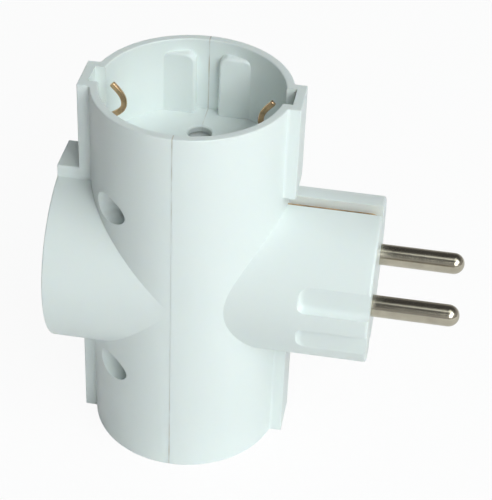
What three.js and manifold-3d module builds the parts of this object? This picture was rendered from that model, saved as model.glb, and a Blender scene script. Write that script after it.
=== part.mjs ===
// Three-way mains adapter for earthed plugs with two round pins, built as it comes apart on a bench.
// Millimetres, +Z up. The origin is the middle of the plug's end face and +X is the way its pins point.
// The tube with an end socket at each end stands along Z; the side socket opens to -X.
import * as THREE from 'three';
import { mergeVertices } from 'three/addons/utils/BufferGeometryUtils.js';
import Module from 'manifold-3d';

// Socket pattern: one recess for each of the three sockets
const recessRadius = 19.6;
const recessDepth = 17.5;
const wall = 1.9;
const floorThickness = 1.5;
const rimChamfer = 0.3;
const pinPitch = 19;
const pinHoleRadius = 2.65;
const pinHoleLead = 0.3;

// Keyways opposite each other in each recess, in ridges that stand proud of the housing
const keywayWidth = 6.3;
const keywayDepth = 2.0;
const keywayWall = 2.0;
const keywayCheek = 2.0;
const keywayInnerWall = 1.7;
const ridgeFillet = 1.0;

// Guide pads on the recess wall, beside the seam
const padDepth = 2.6;
const padSlot = 5.2;
const padBelowRim = 2.8;
const padCorner = 2.0;

// Plug nose
const noseRadius = 18.5;
const noseReach = 42.1;
const noseEdgeLength = 1.7;
const noseEdgeDrop = 0.7;
const noseCavityWall = 1.3;
const facePlate = 3.0;
const ridgeAboveNose = 3.6;
const flatDepth = 1.9;
const flatRib = 4.5;
const flatCorner = 3.0;
const flatLengthSpare = 0.7;
const channelWidth = 3.6;
const channelDepth = 4.2;
const ribThickness = 1.0;
const ribOffset = 3.5;
const ribStart = 17.5;

// Plug pins
const pinRadius = 2.4;
const pinReach = 19;
const bossRadius = 4.4;
const bossLength = 8.1;
const collarRadius = 3.4;
const collarThickness = 1.5;
const spigotRadius = 1.6;
const clenchRadius = 2.3;
const clenchThickness = 0.8;
const pinBoreGap = 0.15;

// Contact forks, one for each pin of each socket
const forkSheet = 0.6;
const forkGrip = 0.15;
const forkBelly = 0.1;
const forkPinGap = 0.3;
const forkTail = 3.4;
const forkTailWidth = 4.0;
const forkLip = 2.8;
const forkWaist = 1.1;
const tipGap = 0.75;
const forkSpacing = 0.4;

// Busbars and their rivets
const busSheet = 0.8;
const busWidth = 5.2;
const busBend = 1.2;
const busEnd = 2.2;
const tabGap = 0.75;
const sheetGap = 0.2;
const rivetRadius = 1.0;
const rivetHeadRadius = 1.5;
const rivetHeadHeight = 0.5;
const rivetHoleGap = 0.2;

// Earth frame, stamped in one piece from sheet that stands in the plane Y = 0
const earthSheet = 1.0;
const earthArm = 1.2;
const earthSpine = 2.4;
const earthCorner = 1.5;
const earthTie = 3.0;
const plugSpineInset = 3.2;
const noseArmWidth = 2.6;
const noseArmDrop = 0.6;
const noseArmSlope = 2.0;
const clipTouchInset = 5.55;
const clipTouchBelowRim = 6.5;
const clipTipBelowRim = 1.9;
const clipTipOut = 2.6;
const clipRootBelowRim = 13.2;
const looseGap = 0.3;
const ridgeGap = 0.2;

// Casing joint at X = 0 of the tube, closed by four screws
const seamGap = 0.2;
const sideProud = 6.9;
const screwInset = 4.0;
const screwBelowFloor = 0.55;
const screwPocketRadius = 3.2;
const screwBossRadius = 4.4;
const screwShoulder = 6.0;
const screwRadius = 1.45;
const screwLength = 14.0;
const screwPoint = 2.0;
const screwHeadRadius = 2.7;
const screwHeadHeight = 2.0;
const screwGap = 0.15;
const crossSlotWidth = 0.9;
const crossSlotDepth = 1.1;
const crossSlotSpan = 3.0;
const spigotRingRadius = 2.9;
const spigotRingLength = 1.2;
const spigotRingGap = 0.2;

// Facets around a full turn
const wideTurn = 48;
const midTurn = 20;
const smallTurn = 14;
const curveSteps = 5;
const overshoot = 1;
const rootSink = 0.4;

// Sizes that follow from the ones above
const bodyRadius = recessRadius + wall;
const sideFloorOffset = bodyRadius + sideProud - recessDepth;
const screwY = recessRadius - screwInset;
const keywayReach = recessRadius + keywayDepth;
const innerRidgeReach = keywayReach + keywayInnerWall;
const ridgeReach = keywayReach + keywayWall;
const ridgeWidth = keywayWidth + 2 * keywayCheek;
const padFace = recessRadius - padDepth;
const flatFace = noseRadius - flatDepth;
const channelFloor = noseRadius - channelDepth;
const noseCavityRadius = channelFloor - noseCavityWall;
const plugSpineEdge = recessRadius - plugSpineInset;
const plugSpine = plugSpineEdge - earthSpine;
const clipTouch = recessRadius - clipTouchInset;
const forkHalfGap = pinRadius - forkGrip;
const forkHalfWidth = pinRadius + 2 * forkBelly + forkSheet;
const pinOffset = pinPitch / 2;
const webMiddle = pinOffset - pinRadius - forkPinGap - forkSheet / 2;
const busMiddle = webMiddle - forkSheet / 2 - sheetGap - busSheet / 2;
const rivetDepth = pinReach + tipGap + forkTail / 2;
const ridgeStack = floorThickness + looseGap + earthArm + ridgeGap + innerRidgeReach;
const contactStack = pinReach + tipGap + forkTail + forkSpacing + forkHalfWidth;
const floorHeight = Math.max(ridgeStack, contactStack);
const halfHeight = floorHeight + recessDepth;
const screwZ = floorHeight - floorThickness - screwPocketRadius - screwBelowFloor;
const forkMouth = screwZ - screwBossRadius - looseGap;
const forkLength = forkMouth - (floorHeight - pinReach - tipGap);
const armOuter = keywayReach - looseGap;
const armMiddle = armOuter - earthArm / 2;
const webTop = floorHeight - floorThickness - looseGap;
const slotWidth = earthSheet + 2 * sheetGap;
const flatLength = recessDepth - padBelowRim + flatLengthSpare;
const bossEnd = noseReach - facePlate - bossLength;
const collarFront = bossEnd - pinBoreGap;
const collarBack = collarFront - collarThickness;
const tabMiddle = collarBack - sheetGap - busSheet / 2;
const tabEnd = Math.sqrt(noseCavityRadius ** 2 - (busWidth / 2) ** 2) - tabGap;

// Materials
const white = new THREE.MeshStandardMaterial({ color: 0xe4f0ee, roughness: 0.35, metalness: 0 });
const nickel = new THREE.MeshStandardMaterial({ color: 0xc9c4ba, roughness: 0.22, metalness: 1 });
const bronze = new THREE.MeshStandardMaterial({ color: 0xb08a55, roughness: 0.35, metalness: 1 });
const brass = new THREE.MeshStandardMaterial({ color: 0xc9a75a, roughness: 0.35, metalness: 1 });
const steel = new THREE.MeshStandardMaterial({ color: 0xb9bcc0, roughness: 0.35, metalness: 1 });

// Solids
const wasm = await Module();
wasm.setup();

// A closed geometry as a solid that can be joined and cut
function solid(geometry) {
  const plain = geometry.clone();
  plain.deleteAttribute('normal');
  plain.deleteAttribute('uv');
  const merged = mergeVertices(plain, 1e-5);
  const corners = merged.index.array;
  const triangles = [];
  for (let i = 0; i < corners.length; i += 3) {
    const [a, b, c] = [corners[i], corners[i + 1], corners[i + 2]];
    if (a !== b && b !== c && c !== a) {
      triangles.push(a, b, c);
    }
  }
  return new wasm.Manifold(new wasm.Mesh({
    numProp: 3,
    vertProperties: new Float32Array(merged.attributes.position.array),
    triVerts: new Uint32Array(triangles),
  }));
}

function geometryOf(body) {
  const mesh = body.getMesh();
  const geometry = new THREE.BufferGeometry();
  geometry.setAttribute('position', new THREE.BufferAttribute(mesh.vertProperties, 3));
  geometry.setIndex(new THREE.BufferAttribute(mesh.triVerts, 1));
  geometry.computeVertexNormals();
  return geometry;
}

function joined(bodies) {
  return bodies.reduce((whole, body) => whole.add(body));
}

// Shape builders
function box(low, high) {
  const size = high.map((value, i) => value - low[i]);
  const middle = high.map((value, i) => (value + low[i]) / 2);
  const geometry = new THREE.BoxGeometry(...size);
  geometry.translate(...middle);
  return geometry;
}

// A box that spans plus and minus half of a width across Y
function slab(x0, x1, width, z0, z1) {
  return box([x0, -width / 2, z0], [x1, width / 2, z1]);
}

function rodZ(radius, z0, z1, turn) {
  const geometry = new THREE.CylinderGeometry(radius, radius, z1 - z0, turn);
  geometry.rotateX(Math.PI / 2);
  geometry.translate(0, 0, (z0 + z1) / 2);
  return geometry;
}

function rodX(radius, x0, x1, turn, y = 0, z = 0) {
  const geometry = new THREE.CylinderGeometry(radius, radius, x1 - x0, turn);
  geometry.rotateZ(Math.PI / 2);
  geometry.translate((x0 + x1) / 2, y, z);
  return geometry;
}

// A turned body: pairs of radius and height, listed upwards, about Z
function turned(pairs, turn) {
  const profile = pairs.map(([radius, height]) => new THREE.Vector2(radius, height));
  const geometry = new THREE.LatheGeometry(profile, turn);
  geometry.rotateX(Math.PI / 2);
  return geometry;
}

// The same about X, with +X for up
function turnedX(pairs, turn) {
  const geometry = turned(pairs, turn);
  geometry.rotateY(Math.PI / 2);
  return geometry;
}

function extruded(shape, depth) {
  const options = { depth, bevelEnabled: false, curveSegments: curveSteps };
  const geometry = new THREE.ExtrudeGeometry(shape, options);
  geometry.translate(0, 0, -depth / 2);
  return geometry;
}

// A plate whose outline lies in the plane of X and Z, centred on Y = 0
function plate(shape, thickness) {
  const geometry = extruded(shape, thickness);
  geometry.rotateX(Math.PI / 2);
  return geometry;
}

// The outline of a strip of even width along a centreline
function ribbon(points, width) {
  const left = [];
  const right = [];
  points.forEach((point, i) => {
    const before = points[Math.max(i - 1, 0)];
    const after = points[Math.min(i + 1, points.length - 1)];
    const along = after.clone().sub(before).normalize();
    const across = new THREE.Vector2(-along.y, along.x).multiplyScalar(width / 2);
    left.push(point.clone().add(across));
    right.push(point.clone().sub(across));
  });
  return new THREE.Shape([...left, ...right.reverse()]);
}

function roundedRectangle(path, x0, z0, x1, z1, radius) {
  path.moveTo(x0 + radius, z0);
  path.lineTo(x1 - radius, z0);
  path.absarc(x1 - radius, z0 + radius, radius, -Math.PI / 2, 0);
  path.lineTo(x1, z1 - radius);
  path.absarc(x1 - radius, z1 - radius, radius, 0, Math.PI / 2);
  path.lineTo(x0 + radius, z1);
  path.absarc(x0 + radius, z1 - radius, radius, Math.PI / 2, Math.PI);
  path.lineTo(x0, z0 + radius);
  path.absarc(x0 + radius, z0 + radius, radius, Math.PI, 1.5 * Math.PI);
  return path;
}

function moved(geometry, x, y, z) {
  return geometry.clone().translate(x, y, z);
}

// Socket frames: Z comes out of the mouth and the recess floor is at Z = 0
const sockets = {
  top: new THREE.Matrix4().makeTranslation(0, 0, floorHeight),
  bottom: new THREE.Matrix4().makeRotationY(Math.PI).setPosition(0, 0, -floorHeight),
  side: new THREE.Matrix4().makeRotationY(-Math.PI / 2).setPosition(-sideFloorOffset, 0, 0),
};

function inSocket(geometry, name) {
  return geometry.clone().applyMatrix4(sockets[name]);
}

// Casing
// A ridge over a keyway: its cross-section has hollow fillets at the root and runs along Z
function ridge(z0, z1) {
  const half = ridgeWidth / 2;
  const foot = half + ridgeFillet;
  const footX = Math.sqrt(bodyRadius ** 2 - foot ** 2) - rootSink;
  const sideX = Math.sqrt(bodyRadius ** 2 - half ** 2) + ridgeFillet;
  const edge = rimChamfer;
  const shape = new THREE.Shape();
  shape.moveTo(0, -foot);
  shape.lineTo(footX, -foot);
  shape.quadraticCurveTo(sideX - ridgeFillet, -half, sideX, -half);
  shape.lineTo(ridgeReach - edge, -half);
  shape.lineTo(ridgeReach, edge - half);
  shape.lineTo(ridgeReach, half - edge);
  shape.lineTo(ridgeReach - edge, half);
  shape.lineTo(sideX, half);
  shape.quadraticCurveTo(sideX - ridgeFillet, half, footX, foot);
  shape.lineTo(0, foot);
  const geometry = extruded(shape, z1 - z0);
  geometry.translate(0, 0, (z0 + z1) / 2);
  return geometry;
}

function housing(length) {
  const inner = bodyRadius - rimChamfer;
  const edge = length - rimChamfer;
  return turned([[0, 0], [bodyRadius, 0], [bodyRadius, edge], [inner, length], [0, length]], wideTurn);
}

// The nose's end is eased over a short ellipse
function nose() {
  const profile = [[0, 0], [noseRadius, 0]];
  for (let i = 0; i <= 4; i += 1) {
    const angle = (i / 4) * (Math.PI / 2);
    const radius = noseRadius - noseEdgeDrop * (1 - Math.cos(angle));
    profile.push([radius, noseReach - noseEdgeLength * (1 - Math.sin(angle))]);
  }
  profile.push([0, noseReach]);
  return turnedX(profile, wideTurn);
}

function outerBody() {
  const bodies = [];
  ['top', 'bottom'].forEach((name) => {
    bodies.push(solid(inSocket(moved(housing(halfHeight), 0, 0, -floorHeight), name)));
  });
  const sideHousing = moved(housing(sideFloorOffset + recessDepth), 0, 0, -sideFloorOffset);
  bodies.push(solid(inSocket(sideHousing, 'side')));
  bodies.push(solid(nose()));
  bodies.push(solid(ridge(noseRadius + ridgeAboveNose, halfHeight)));
  bodies.push(solid(ridge(-halfHeight, 0)));
  const left = ridge(-halfHeight, halfHeight);
  left.rotateZ(Math.PI);
  bodies.push(solid(left));
  [0, Math.PI].forEach((turn) => {
    const along = ridge(0, sideFloorOffset + recessDepth);
    along.rotateZ(turn);
    along.rotateY(-Math.PI / 2);
    bodies.push(solid(along));
  });
  return joined(bodies);
}

// What a recess removes, with its guide pads left standing
function recess() {
  const mouth = recessRadius + rimChamfer;
  const top = recessDepth + overshoot;
  const bowl = [[0, 0], [recessRadius, 0], [recessRadius, recessDepth - rimChamfer], [mouth, recessDepth],
    [mouth, top], [0, top]];
  const edge = Math.sqrt(recessRadius ** 2 - padFace ** 2) + rootSink;
  const padTop = recessDepth - padBelowRim;
  const outline = new THREE.Shape();
  outline.moveTo(padSlot / 2, -overshoot);
  outline.lineTo(edge, -overshoot);
  outline.lineTo(edge, padTop - padCorner);
  outline.absarc(edge - padCorner, padTop - padCorner, padCorner, 0, Math.PI / 2);
  outline.lineTo(padSlot / 2 + padCorner, padTop);
  outline.absarc(padSlot / 2 + padCorner, padTop - padCorner, padCorner, Math.PI / 2, Math.PI);
  const padThickness = bodyRadius - padFace;
  let cut = solid(turned(bowl, wideTurn));
  [-1, 1].forEach((sideY) => {
    [0, Math.PI].forEach((turn) => {
      const pad = plate(outline, padThickness);
      pad.rotateZ(turn);
      pad.translate(0, sideY * (padFace + padThickness / 2), 0);
      cut = cut.subtract(solid(pad));
    });
  });
  return cut.add(solid(slab(-keywayReach, keywayReach, keywayWidth, 0, top)));
}

// Holes through a socket floor: two for pins and slots for the earth frame's arms
function floorHoles(slotStart, slotDepth) {
  const lead = pinHoleRadius + pinHoleLead;
  const hole = turned([[0, -floorThickness - looseGap], [pinHoleRadius, -floorThickness - looseGap],
    [pinHoleRadius, -pinHoleLead], [lead, 0], [lead, overshoot], [0, overshoot]], midTurn);
  const bodies = [-1, 1].map((side) => solid(moved(hole, 0, side * pinOffset, 0)));
  [-1, 1].forEach((side) => {
    const ends = [side * slotStart, side * keywayReach].sort((a, b) => a - b);
    bodies.push(solid(slab(ends[0], ends[1], slotWidth, -slotDepth, overshoot)));
  });
  return joined(bodies);
}

// The hollow of the tube and the nose, less the back of the side socket, the bosses and the ribs
function cavity() {
  const under = floorHeight - floorThickness;
  const back = -sideFloorOffset + floorThickness;
  const end = noseReach - facePlate;
  let hollow = solid(rodZ(recessRadius, -under, under, wideTurn));
  hollow = hollow.subtract(solid(rodX(bodyRadius, -bodyRadius, back, wideTurn)));
  hollow = hollow.subtract(solid(slab(-bodyRadius, back, ridgeWidth, -innerRidgeReach, innerRidgeReach)));
  hollow = hollow.add(solid(rodX(noseCavityRadius, 0, end, wideTurn)));
  [-1, 1].forEach((side) => {
    hollow = hollow.subtract(solid(rodX(bossRadius, bossEnd, end + overshoot, midTurn, side * pinOffset)));
    const rib = slab(ribStart, end + overshoot, ribThickness, -noseRadius, noseRadius);
    hollow = hollow.subtract(solid(moved(rib, 0, side * ribOffset, 0)));
  });
  screwPlaces().forEach(([y, z]) => {
    hollow = hollow.subtract(solid(rodX(screwBossRadius, -bodyRadius, bodyRadius, midTurn, y, z)));
  });
  return hollow;
}

function screwPlaces() {
  return [[-screwY, screwZ], [screwY, screwZ], [-screwY, -screwZ], [screwY, -screwZ]];
}

// Grooves, flats and holes on the nose
function noseCuts() {
  const bodies = [];
  const end = noseReach + overshoot;
  const chord = Math.sqrt(noseRadius ** 2 - flatFace ** 2);
  const flat = new THREE.Shape();
  const start = noseReach - flatLength;
  flat.moveTo(end, flatRib / 2);
  flat.lineTo(end, chord + overshoot);
  flat.lineTo(start + flatCorner, chord + overshoot);
  flat.absarc(start + flatCorner, chord + overshoot - flatCorner, flatCorner, Math.PI / 2, Math.PI);
  flat.lineTo(start, flatRib / 2 + flatCorner / 2);
  flat.absarc(start + flatCorner / 2, flatRib / 2 + flatCorner / 2, flatCorner / 2, Math.PI, 1.5 * Math.PI);
  const depth = noseRadius - flatFace + overshoot;
  [-1, 1].forEach((side) => {
    [0, Math.PI].forEach((turn) => {
      const cut = plate(flat, depth);
      cut.rotateX(turn);
      cut.translate(0, side * (flatFace + depth / 2), 0);
      bodies.push(solid(cut));
    });
    const groove = [side * channelFloor, side * noseRadius].sort((a, b) => a - b);
    bodies.push(solid(slab(bodyRadius, end, channelWidth, groove[0], groove[1])));
    const passage = [side * channelFloor, side * (channelFloor + 2 * looseGap + noseArmWidth)];
    passage.sort((a, b) => a - b);
    bodies.push(solid(slab(plugSpine, bodyRadius + overshoot, slotWidth, passage[0], passage[1])));
    bodies.push(solid(rodX(pinRadius + pinBoreGap, bossEnd - overshoot, end, midTurn, side * pinOffset)));
  });
  return joined(bodies);
}

function screwCuts() {
  const pilot = screwRadius + screwGap;
  const pilotEnd = screwLength - screwShoulder;
  return joined(screwPlaces().flatMap(([y, z]) => [
    solid(rodX(screwPocketRadius, -bodyRadius, -screwShoulder, midTurn, y, z)),
    solid(rodX(pilot, -screwShoulder - overshoot, pilotEnd, smallTurn, y, z)),
  ]));
}

function casing() {
  let body = outerBody().subtract(cavity());
  ['top', 'bottom', 'side'].forEach((name) => {
    body = body.subtract(solid(inSocket(geometryOf(recess()), name)));
  });
  const webBottom = webTop - earthArm - ridgeGap;
  const slit = geometryOf(floorHoles(0, floorHeight - webBottom));
  const armSlots = geometryOf(floorHoles(clipTouch - earthArm, floorThickness + looseGap));
  body = body.subtract(solid(inSocket(slit, 'top')));
  body = body.subtract(solid(inSocket(slit, 'bottom')));
  body = body.subtract(solid(inSocket(armSlots, 'side')));
  return body.subtract(noseCuts()).subtract(screwCuts());
}

// Spigot rings on the socket half centre the plug half at the screws
function spigotRings(radius, length) {
  return joined(screwPlaces().map(([y, z]) => solid(rodX(radius, -overshoot, length, midTurn, y, z))));
}

function casingHalves() {
  const whole = casing();
  const far = noseReach + halfHeight;
  const leftSide = solid(box([-far, -far, -far], [-seamGap / 2, far, far]));
  const rightSide = solid(box([seamGap / 2, -far, -far], [far, far, far]));
  const rings = spigotRings(spigotRingRadius, spigotRingLength).subtract(screwCuts());
  const sinks = spigotRings(spigotRingRadius + spigotRingGap, spigotRingLength + spigotRingGap);
  return {
    socketHalf: whole.intersect(leftSide).add(rings),
    plugHalf: whole.intersect(rightSide).subtract(sinks),
  };
}

// Screw along X with its head to -X
function screw() {
  const head = screwShoulder + screwHeadHeight;
  const end = screwLength - screwShoulder - screwGap;
  const body = solid(turnedX([
    [0, -head], [screwHeadRadius * 0.7, -head], [screwHeadRadius, -head + screwHeadHeight * 0.4],
    [screwHeadRadius, -screwShoulder - screwGap], [screwRadius, -screwShoulder - screwGap],
    [screwRadius, end - screwPoint], [0, end],
  ], smallTurn));
  const depth = crossSlotDepth + overshoot;
  const cross = [[crossSlotSpan, crossSlotWidth], [crossSlotWidth, crossSlotSpan]].map(([across, up]) => (
    solid(box([-head - overshoot, -across / 2, -up / 2], [-head - overshoot + depth, across / 2, up / 2]))
  ));
  return geometryOf(body.subtract(joined(cross)));
}

// Plug pin: round tip, collar behind the boss, spigot clenched over the busbar tab
function plugPin() {
  const tip = noseReach + pinReach;
  const clench = tabMiddle - busSheet / 2 - sheetGap;
  const profile = [
    [0, clench - clenchThickness], [clenchRadius, clench - clenchThickness], [clenchRadius, clench],
    [spigotRadius, clench], [spigotRadius, collarBack], [collarRadius, collarBack],
    [collarRadius, collarFront], [pinRadius, collarFront],
  ];
  for (let i = 0; i <= curveSteps; i += 1) {
    const angle = (i / curveSteps) * (Math.PI / 2);
    const radius = i < curveSteps ? pinRadius * Math.cos(angle) : 0;
    profile.push([radius, tip - pinRadius + pinRadius * Math.sin(angle)]);
  }
  return turnedX(profile, midTurn);
}

// Contact fork in its socket's frame: two sprung leaves on a web with a tail for the rivet
function fork(side) {
  const root = forkHalfWidth - forkSheet / 2;
  const pinch = forkHalfGap + forkSheet / 2;
  const belly = pinRadius + forkBelly + forkSheet / 2;
  const half = [
    [root, webMiddle + forkSheet], [pinch, pinOffset - forkWaist], [belly, pinOffset],
    [pinch, pinOffset + forkWaist], [root - forkSheet / 2, pinOffset + forkLip],
  ];
  const leaf = [[root - forkSheet, webMiddle], ...half].map(([x, y]) => new THREE.Vector2(x, y));
  const mirrored = leaf.map((point) => new THREE.Vector2(-point.x, point.y)).reverse();
  const line = new THREE.SplineCurve([...mirrored, ...leaf]);
  const leaves = extruded(ribbon(line.getPoints(curveSteps * 5), forkSheet), forkLength);
  leaves.translate(0, 0, forkLength / 2 - pinReach - tipGap);
  const low = -pinReach - tipGap - forkTail;
  const inner = webMiddle - forkSheet / 2;
  const top = [forkTailWidth / 2, inner + forkSheet, low + 2 * forkTail];
  const tail = box([-forkTailWidth / 2, inner, low], top);
  const hole = rodZ(rivetRadius + rivetHoleGap, 0, pinOffset, smallTurn);
  hole.rotateX(-Math.PI / 2);
  hole.translate(0, 0, -rivetDepth);
  const geometry = geometryOf(solid(leaves).add(solid(tail)).subtract(solid(hole)));
  return side > 0 ? geometry : mirroredY(geometry);
}

// A copy on the other side of the plane Y = 0, with its faces turned outwards again
function mirroredY(geometry) {
  const copy = geometry.clone().scale(1, -1, 1);
  const corners = copy.index.array;
  for (let i = 0; i < corners.length; i += 3) {
    [corners[i], corners[i + 1]] = [corners[i + 1], corners[i]];
  }
  copy.computeVertexNormals();
  return copy;
}

// Rivet through a fork's tail and the busbar, in the socket's frame
function forkRivet(side) {
  const low = busMiddle - busSheet / 2 - sheetGap;
  const high = webMiddle + forkSheet / 2 + sheetGap;
  const rim = rivetHeadRadius;
  const top = rim * 0.6;
  const geometry = turned([
    [0, low - rivetHeadHeight], [top, low - rivetHeadHeight], [rim, low], [rivetRadius, low],
    [rivetRadius, high], [rim, high], [top, high + rivetHeadHeight], [0, high + rivetHeadHeight],
  ], smallTurn);
  geometry.rotateX(-side * Math.PI / 2);
  geometry.translate(0, 0, -rivetDepth);
  return geometry;
}

// Busbar: a cross of flat strip whose long arm ends in a tab bent outwards behind the pin
function busbar(side) {
  const start = -busWidth / 2;
  const corner = new THREE.Path();
  corner.moveTo(start, busMiddle);
  corner.lineTo(tabMiddle - busBend, busMiddle);
  corner.absarc(tabMiddle - busBend, busMiddle + busBend, busBend, -Math.PI / 2, 0);
  corner.lineTo(tabMiddle, tabEnd);
  const arm = extruded(ribbon(corner.getPoints(curveSteps), busSheet), busWidth);
  const reach = floorHeight - rivetDepth + busEnd;
  const outline = roundedRectangle(new THREE.Shape(), start, -reach, -start, reach, busEnd / 2);
  const post = moved(plate(outline, busSheet), 0, busMiddle, 0);
  let body = solid(arm).add(solid(post));
  ['top', 'bottom', 'side'].forEach((name) => {
    const hole = rodZ(rivetRadius + rivetHoleGap, 0, pinOffset, smallTurn);
    hole.rotateX(-Math.PI / 2);
    hole.translate(0, 0, -rivetDepth);
    body = body.subtract(solid(inSocket(hole, name)));
  });
  const tabHole = spigotRadius + pinBoreGap;
  body = body.subtract(solid(rodX(tabHole, collarBack - clenchRadius, collarBack, smallTurn, pinOffset)));
  const geometry = geometryOf(body);
  return side > 0 ? geometry : mirroredY(geometry);
}

// One sprung arm of the earth frame with its contact, in the socket's frame on the +X side
function clipArm(root) {
  const rim = recessDepth;
  const touch = clipTouch + earthArm / 2;
  const bend = (clipRootBelowRim - clipTouchBelowRim) * 0.45;
  const tip = (clipTouchBelowRim - clipTipBelowRim) * 0.4;
  const line = new THREE.Path();
  line.moveTo(armMiddle, root);
  line.lineTo(armMiddle, rim - clipRootBelowRim);
  line.bezierCurveTo(
    armMiddle, rim - clipRootBelowRim + bend,
    touch, rim - clipTouchBelowRim - bend,
    touch, rim - clipTouchBelowRim,
  );
  line.bezierCurveTo(
    touch, rim - clipTouchBelowRim + tip,
    touch + clipTipOut / 3, rim - clipTipBelowRim - tip,
    touch + clipTipOut, rim - clipTipBelowRim,
  );
  return plate(ribbon(line.getPoints(curveSteps), earthArm), earthSheet);
}

// Nose arm of the earth frame: a straight strip whose outer edge slopes in towards the end face
function noseArm(start) {
  const low = channelFloor + looseGap;
  const high = low + noseArmWidth;
  const end = noseReach - sheetGap;
  const outline = new THREE.Shape();
  outline.moveTo(start, low);
  outline.lineTo(end, low);
  outline.lineTo(end, high - noseArmDrop);
  outline.quadraticCurveTo(end - noseArmSlope / 3, high, end - noseArmSlope, high);
  outline.lineTo(start, high);
  return plate(outline, earthSheet);
}

// Earth frame: a window of strip between the sockets with six clip arms and two nose arms
function earthFrame() {
  const socketSpine = -sideFloorOffset + floorThickness + looseGap;
  const window = new THREE.Shape();
  roundedRectangle(window, socketSpine, -webTop, plugSpineEdge, webTop, earthCorner);
  const openLeft = socketSpine + earthSpine;
  const bars = webTop - earthArm;
  [[earthTie / 2, bars], [-bars, -earthTie / 2]].forEach(([low, high]) => {
    window.holes.push(roundedRectangle(new THREE.Path(), openLeft, low, plugSpine, high, earthCorner));
  });
  const bodies = [solid(plate(window, earthSheet))];
  const web = [-armOuter, armOuter, earthSheet];
  [1, -1].forEach((side) => {
    const levels = [side * webTop, side * (webTop - earthArm)].sort((a, b) => a - b);
    bodies.push(solid(slab(...web, levels[0], levels[1])));
    const arm = noseArm(plugSpine);
    bodies.push(solid(side > 0 ? arm : arm.rotateX(Math.PI)));
  });
  ['top', 'bottom', 'side'].forEach((name) => {
    const spineDepth = floorThickness + looseGap + earthSpine / 2;
    const webDepth = floorThickness + looseGap + earthArm;
    const root = name === 'side' ? -spineDepth : -webDepth;
    [0, Math.PI].forEach((turn) => {
      const arm = clipArm(root);
      arm.rotateZ(turn);
      bodies.push(solid(inSocket(arm, name)));
    });
  });
  return geometryOf(joined(bodies));
}

// Assembly
function piece(name, geometry, material) {
  const mesh = new THREE.Mesh(geometry, material);
  mesh.name = name;
  return mesh;
}

const adapter = new THREE.Group();
adapter.position.x = -noseReach;

const { socketHalf, plugHalf } = casingHalves();
adapter.add(piece('casing_socket_half', geometryOf(socketHalf), white));
adapter.add(piece('casing_plug_half', geometryOf(plugHalf), white));

const screwNames = ['screw_upper_front', 'screw_upper_back', 'screw_lower_front', 'screw_lower_back'];
screwPlaces().forEach(([y, z], i) => {
  const mesh = piece(screwNames[i], screw(), steel);
  mesh.position.set(0, y, z);
  adapter.add(mesh);
});

[['line', -1], ['neutral', 1]].forEach(([pole, side]) => {
  const pin = piece(`pin_${pole}`, plugPin(), nickel);
  pin.position.y = side * pinOffset;
  adapter.add(pin);
  adapter.add(piece(`busbar_${pole}`, busbar(side), brass));
});

Object.entries(sockets).forEach(([name, matrix]) => {
  const socket = new THREE.Group();
  matrix.decompose(socket.position, socket.quaternion, socket.scale);
  [['line', -1], ['neutral', 1]].forEach(([pole, side]) => {
    socket.add(piece(`fork_${name}_${pole}`, fork(side), bronze));
    socket.add(piece(`rivet_${name}_${pole}`, forkRivet(side), brass));
  });
  adapter.add(socket);
});

adapter.add(piece('earth_frame', earthFrame(), bronze));

const part = new THREE.Group();
part.add(adapter);
export default part;
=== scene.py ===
# Three-way mains adapter: the finish and the smooth shells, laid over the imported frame.
# The bench frame used below has the tube's axis at X = 0 and millimetres; PLACE takes it to the row frame.
import math

import bmesh
import bpy
from bpy.props import FloatProperty, PointerProperty, StringProperty
from mathutils import Matrix, Vector


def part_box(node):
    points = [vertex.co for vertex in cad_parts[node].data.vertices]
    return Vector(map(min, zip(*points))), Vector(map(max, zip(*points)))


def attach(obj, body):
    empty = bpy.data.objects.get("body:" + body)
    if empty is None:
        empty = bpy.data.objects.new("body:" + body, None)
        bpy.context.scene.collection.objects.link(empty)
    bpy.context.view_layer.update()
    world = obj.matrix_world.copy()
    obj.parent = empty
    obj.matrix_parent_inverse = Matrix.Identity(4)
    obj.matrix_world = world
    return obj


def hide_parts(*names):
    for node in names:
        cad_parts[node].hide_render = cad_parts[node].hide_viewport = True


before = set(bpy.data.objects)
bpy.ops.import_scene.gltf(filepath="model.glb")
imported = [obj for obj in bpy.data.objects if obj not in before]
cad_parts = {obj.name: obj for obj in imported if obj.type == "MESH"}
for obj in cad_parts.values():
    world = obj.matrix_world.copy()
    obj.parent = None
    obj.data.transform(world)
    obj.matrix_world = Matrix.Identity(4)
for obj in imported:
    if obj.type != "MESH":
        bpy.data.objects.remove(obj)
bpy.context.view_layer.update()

bl_info = {
    "name": "Mains Adapter Builder",
    "version": (1, 0, 0),
    "blender": (4, 5, 0),
    "location": "3D View > Sidebar > Adapter",
    "description": "Builds a three-way mains adapter with a moulded casing, pins and earth frame",
    "category": "Add Mesh",
}

MM = 0.001


def node_box(name):
    low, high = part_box(name)
    return Vector(low) / MM, Vector(high) / MM


SOCKET_LOW, SOCKET_HIGH = node_box("casing_socket_half")
PLUG_LOW = node_box("casing_plug_half")[0]
PIN_LOW, PIN_HIGH = node_box("pin_line")
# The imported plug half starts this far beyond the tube's axis
HALF_GAP = 0.1
TUBE_X = PLUG_LOW.x - HALF_GAP
NOSE_REACH = -TUBE_X
PLACE = Matrix.Scale(MM, 4) @ Matrix.Translation((TUBE_X, 0, 0))


def millimetres(name, description, default):
    default *= MM
    return FloatProperty(name=name, description=description, default=default, min=0, unit="LENGTH")


def colour(name, description, default):
    description += ", as an sRGB hex value"
    return StringProperty(name=name, description=description, default=default)


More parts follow.
